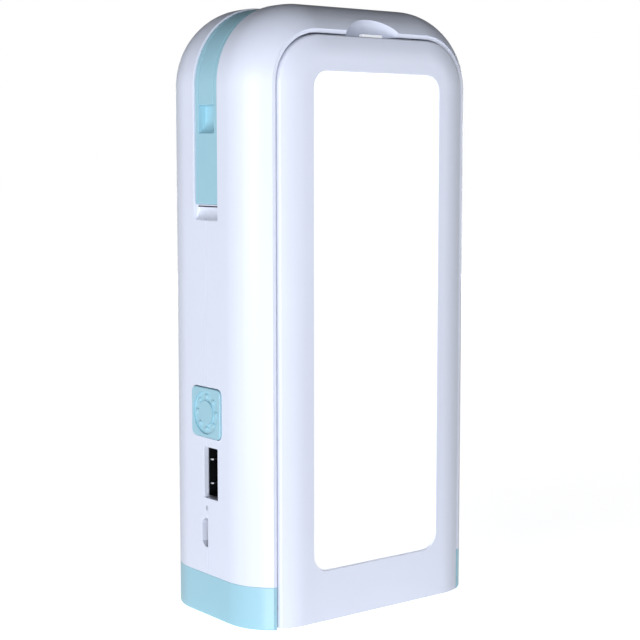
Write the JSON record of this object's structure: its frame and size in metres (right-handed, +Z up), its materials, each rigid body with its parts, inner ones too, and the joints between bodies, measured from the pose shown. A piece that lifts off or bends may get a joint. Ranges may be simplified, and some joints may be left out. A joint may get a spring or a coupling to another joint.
{
  "type": "folding led lamp",
  "caption": "Arched portable lamp with a fold-out light panel, a swing-out carry handle with a hook nested in it, a side push button and side sockets.",
  "frame": {"origin": "on the floor, at the middle of the body's foot, in the plane where the two shells meet", "axes": "+Z up, +X to the right of someone who faces the light panel, so -Y is the side that the light leaves from and the button and sockets face -X"},
  "size_m": [0.0767, 0.0476, 0.16],
  "materials": {
    "shell_white": "smooth glossy moulded shell, very pale lavender white",
    "trim_blue": "smooth glossy moulded trim, pale sea blue",
    "opal_diffuser": "opal acrylic, smooth",
    "inner_white": "matt white moulded",
    "light_board": "aluminium board with white solder mask",
    "light_chips": "white housing with yellow phosphor",
    "circuit_board": "glass fibre board with green solder mask",
    "black_plastic": "matt black moulded",
    "ferrite": "dark grey ferrite block",
    "socket_steel": "tinned steel",
    "gilt_contact": "gilt",
    "clear_plastic": "clear polished plastic",
    "cell_wrap": "shrink-wrapped cell",
    "nickel_strip": "plain nickel strip",
    "screw_steel": "zinc-plated steel"
  },
  "bodies": {
    "root": {"front_shell": "shell_white", "rear_shell": "shell_white", "base_cap": "trim_blue", "main_board": "circuit_board", "tact_switch": "black_plastic", "control_chip": "black_plastic", "choke": "ferrite", "output_socket_insert": "black_plastic", "output_socket_riser": "black_plastic", "charging_socket_tongue": "black_plastic", "battery_tray": "black_plastic", "output_socket_shell": "socket_steel", "charging_socket_shell": "socket_steel", "output_contacts": "gilt_contact", "light_pipe": "clear_plastic", "charging_light": "clear_plastic", "battery_cell_left": "cell_wrap", "battery_cell_right": "cell_wrap", "battery_strips": "nickel_strip", "case_screws": "screw_steel", "base_screws": "screw_steel", "board_screws": "screw_steel", "hinge_pins": "screw_steel", "hinge_washers": "screw_steel", "handle_pin": "screw_steel"},
    "light_panel": {"panel_frame": "shell_white", "panel_latch": "shell_white", "diffuser": "opal_diffuser", "light_ring": "inner_white", "light_board": "light_board", "light_chips": "light_chips", "panel_cover": "inner_white", "panel_screws": "screw_steel"},
    "carry_handle": {"carry_handle": "trim_blue", "hook_pin": "screw_steel"},
    "hanging_hook": {"hanging_hook": "trim_blue"},
    "power_button": {"power_button": "trim_blue", "switch_plunger": "black_plastic"}
  },
  "joints": [
    {"name": "panel_hinge", "type": "hinge", "parent": "root", "child": "light_panel", "pos_m": [0, -0.0182, 0.0057], "axis": [1, 0, 0], "range_deg": [0, 90]},
    {"name": "handle_hinge", "type": "hinge", "parent": "root", "child": "carry_handle", "pos_m": [0.019, 0, 0.1578], "axis": [0, 1, 0], "range_deg": [0, 90]},
    {"name": "hook_hinge", "type": "hinge", "parent": "carry_handle", "child": "hanging_hook", "pos_m": [0.005, 0, 0.1585], "axis": [0, 1, 0], "range_deg": [0, 90]},
    {"name": "button_press", "type": "slide", "parent": "root", "child": "power_button", "axis": [1, 0, 0], "range_m": [0, 0.0008], "stiffness_N_per_m": 1500}
  ]
}
